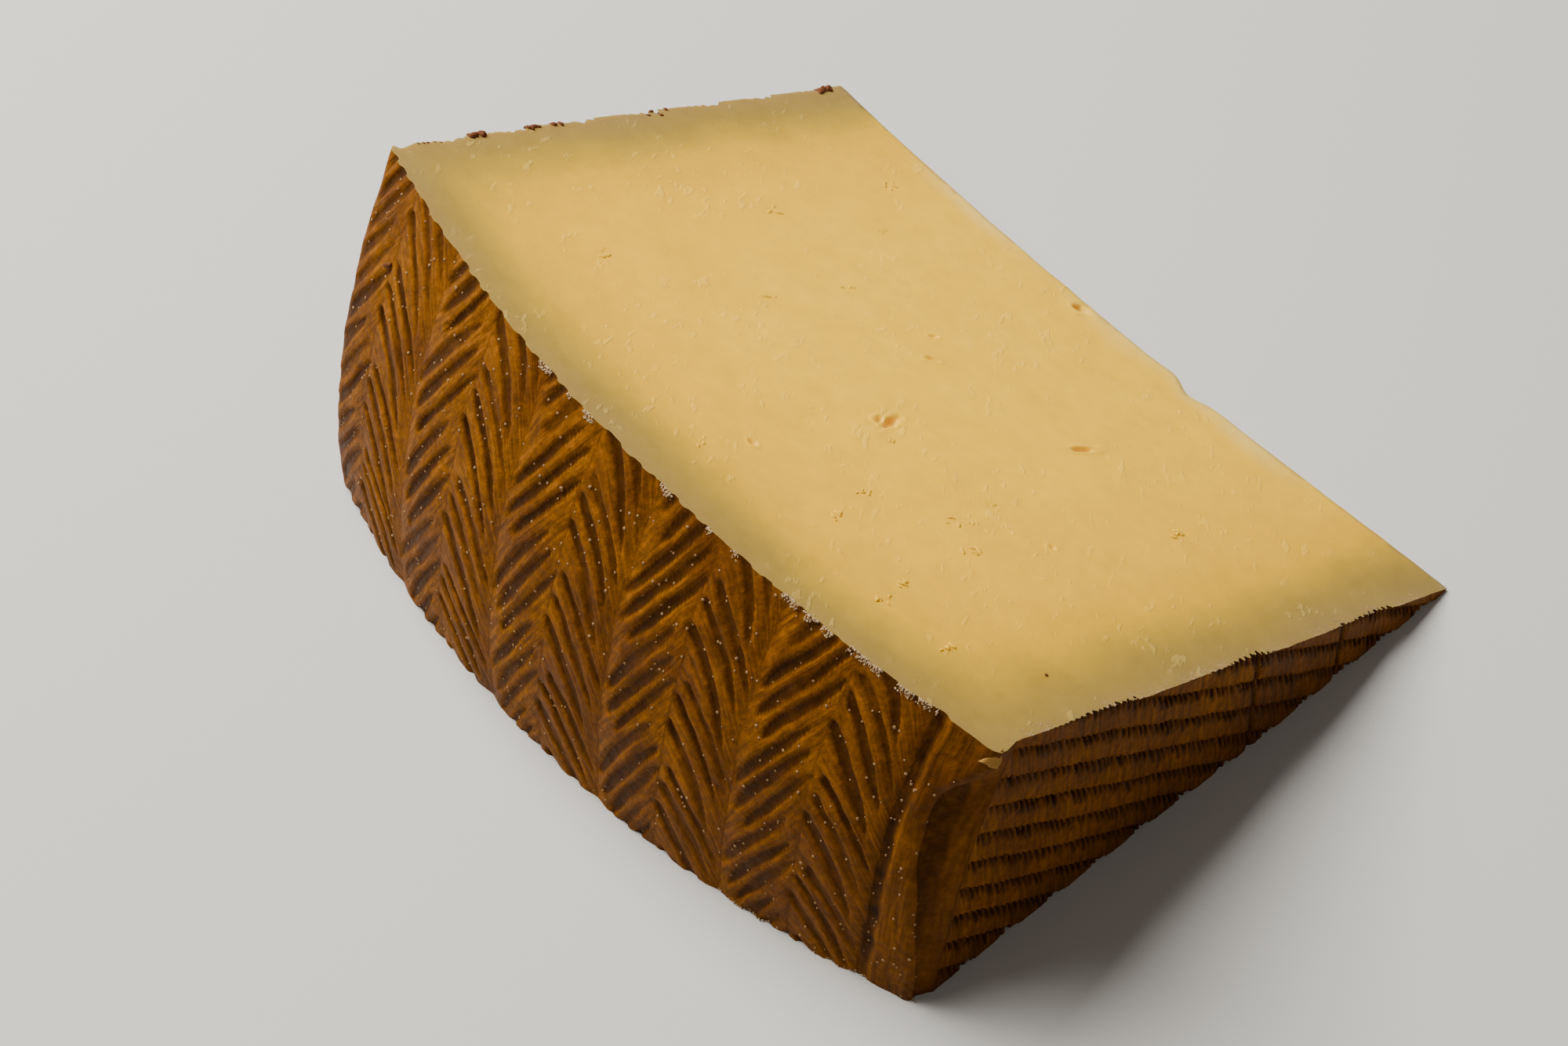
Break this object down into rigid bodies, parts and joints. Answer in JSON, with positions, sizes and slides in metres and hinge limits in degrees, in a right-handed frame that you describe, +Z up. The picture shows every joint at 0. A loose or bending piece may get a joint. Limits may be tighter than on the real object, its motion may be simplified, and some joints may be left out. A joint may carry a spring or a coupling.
{
  "type": "wedge of manchego cheese",
  "caption": "Wedge cut from a wheel of pressed sheep's milk cheese, lying on one cut face: pale paste, brown rind with a pressed plait on the side and straight ridges on both flat faces.",
  "frame": {"origin": "on the surface that the wedge lies on, under the middle of its box", "axes": "+X along the axis of the wheel it was cut from, towards the near flat face; +Y from the rind towards the tip; +Z up from the lower cut face"},
  "size_m": [0.1074, 0.0975, 0.0485],
  "materials": {
    "cheese": "satin cream paste on the cuts, brown ochre rind on the side and flat faces"
  },
  "bodies": {
    "root": {"cheese_wedge": "cheese"}
  },
  "joints": []
}
